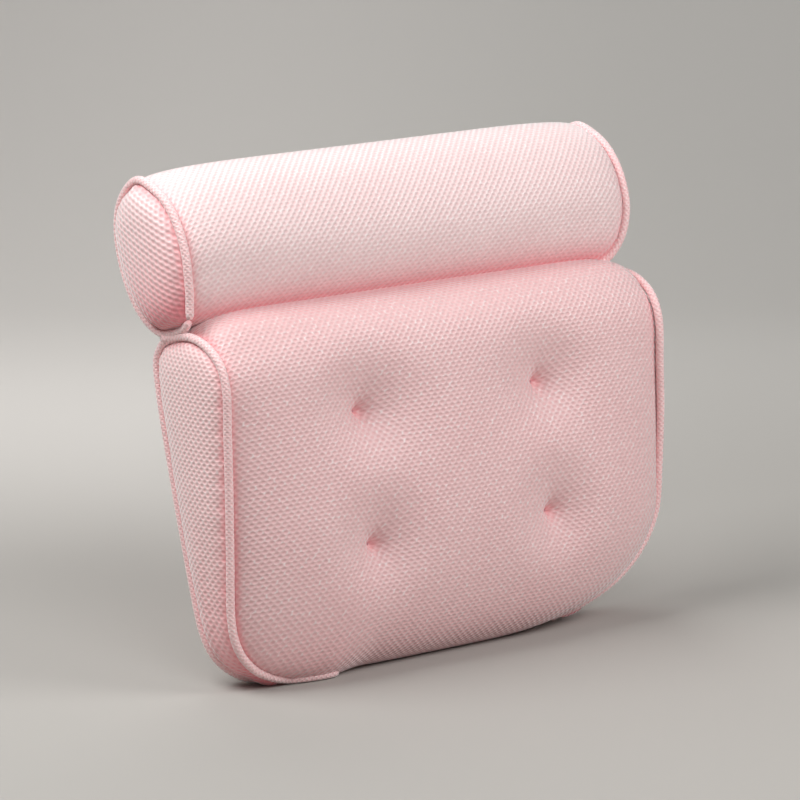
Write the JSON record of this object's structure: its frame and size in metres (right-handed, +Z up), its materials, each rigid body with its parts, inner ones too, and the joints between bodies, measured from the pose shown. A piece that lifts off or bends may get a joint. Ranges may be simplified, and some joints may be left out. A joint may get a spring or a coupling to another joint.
{
  "type": "bath pillow",
  "caption": "Tufted wedge-shaped bath pillow in air mesh with a neck roll that folds back on a sewn line and suction cups behind.",
  "frame": {"origin": "middle of the flat under the pad on which the pillow stands, on the floor plane", "axes": "+X to the right seen from the front, +Y backwards to the suction cups, +Z up; the back leans back by 18 degrees"},
  "size_m": [0.378, 0.1595, 0.321],
  "materials": {
    "air_mesh": "pale pink 3-D air mesh, matt, with rows of small open cells",
    "piping_mesh": "the same pale pink mesh wrapped round a soft cord",
    "patch_cloth": "pale pink woven tape, matt",
    "thread": "pink polyester sewing thread",
    "fibre": "white polyester fibre, soft and matt",
    "clear_vinyl": "clear soft vinyl, glossy",
    "white_plastic": "white moulded plastic, satin"
  },
  "bodies": {
    "pad": {"pad_front_cover": "air_mesh", "pad_back_cover": "air_mesh", "pad_left_gusset": "air_mesh", "pad_right_gusset": "air_mesh", "pad_filling": "fibre", "pad_left_piping": "piping_mesh", "pad_right_piping": "piping_mesh", "tuft_tie_1": "thread", "tuft_tie_2": "thread", "tuft_tie_3": "thread", "tuft_tie_4": "thread", "joining_seam": "thread", "cup_patch_1": "patch_cloth", "cup_retainer_1": "white_plastic", "cup_patch_2": "patch_cloth", "cup_retainer_2": "white_plastic", "cup_patch_3": "patch_cloth", "cup_retainer_3": "white_plastic", "cup_patch_4": "patch_cloth", "cup_retainer_4": "white_plastic"},
    "neck_roll": {"roll_cover": "air_mesh", "roll_left_end": "air_mesh", "roll_right_end": "air_mesh", "roll_filling": "fibre", "roll_left_piping": "piping_mesh", "roll_right_piping": "piping_mesh", "cup_patch_5": "patch_cloth", "cup_retainer_5": "white_plastic", "cup_patch_6": "patch_cloth", "cup_retainer_6": "white_plastic"},
    "cup_1": {"suction_cup_1": "clear_vinyl"},
    "cup_2": {"suction_cup_2": "clear_vinyl"},
    "cup_3": {"suction_cup_3": "clear_vinyl"},
    "cup_4": {"suction_cup_4": "clear_vinyl"},
    "cup_5": {"suction_cup_5": "clear_vinyl"},
    "cup_6": {"suction_cup_6": "clear_vinyl"}
  },
  "joints": [
    {"name": "neck_roll_fold", "type": "hinge", "parent": "pad", "child": "neck_roll", "pos_m": [0, 0.08396, 0.21201], "axis": [-1, 0, 0], "range_deg": [0, 110]},
    {"name": "cup_1_swivel", "type": "hinge", "parent": "pad", "child": "cup_1", "pos_m": [-0.105, 0.02719, 0.03186], "axis": [0, 0.9511, -0.309], "continuous": true},
    {"name": "cup_2_swivel", "type": "hinge", "parent": "pad", "child": "cup_2", "pos_m": [0.105, 0.02719, 0.03186], "axis": [0, 0.9511, -0.309], "continuous": true},
    {"name": "cup_3_swivel", "type": "hinge", "parent": "pad", "child": "cup_3", "pos_m": [-0.105, 0.06579, 0.15065], "axis": [0, 0.9511, -0.309], "continuous": true},
    {"name": "cup_4_swivel", "type": "hinge", "parent": "pad", "child": "cup_4", "pos_m": [0.105, 0.06579, 0.15065], "axis": [0, 0.9511, -0.309], "continuous": true},
    {"name": "cup_5_swivel", "type": "hinge", "parent": "neck_roll", "child": "cup_5", "pos_m": [-0.075, 0.09749, 0.24822], "axis": [0, 0.9511, -0.309], "continuous": true},
    {"name": "cup_6_swivel", "type": "hinge", "parent": "neck_roll", "child": "cup_6", "pos_m": [0.075, 0.09749, 0.24822], "axis": [0, 0.9511, -0.309], "continuous": true}
  ]
}
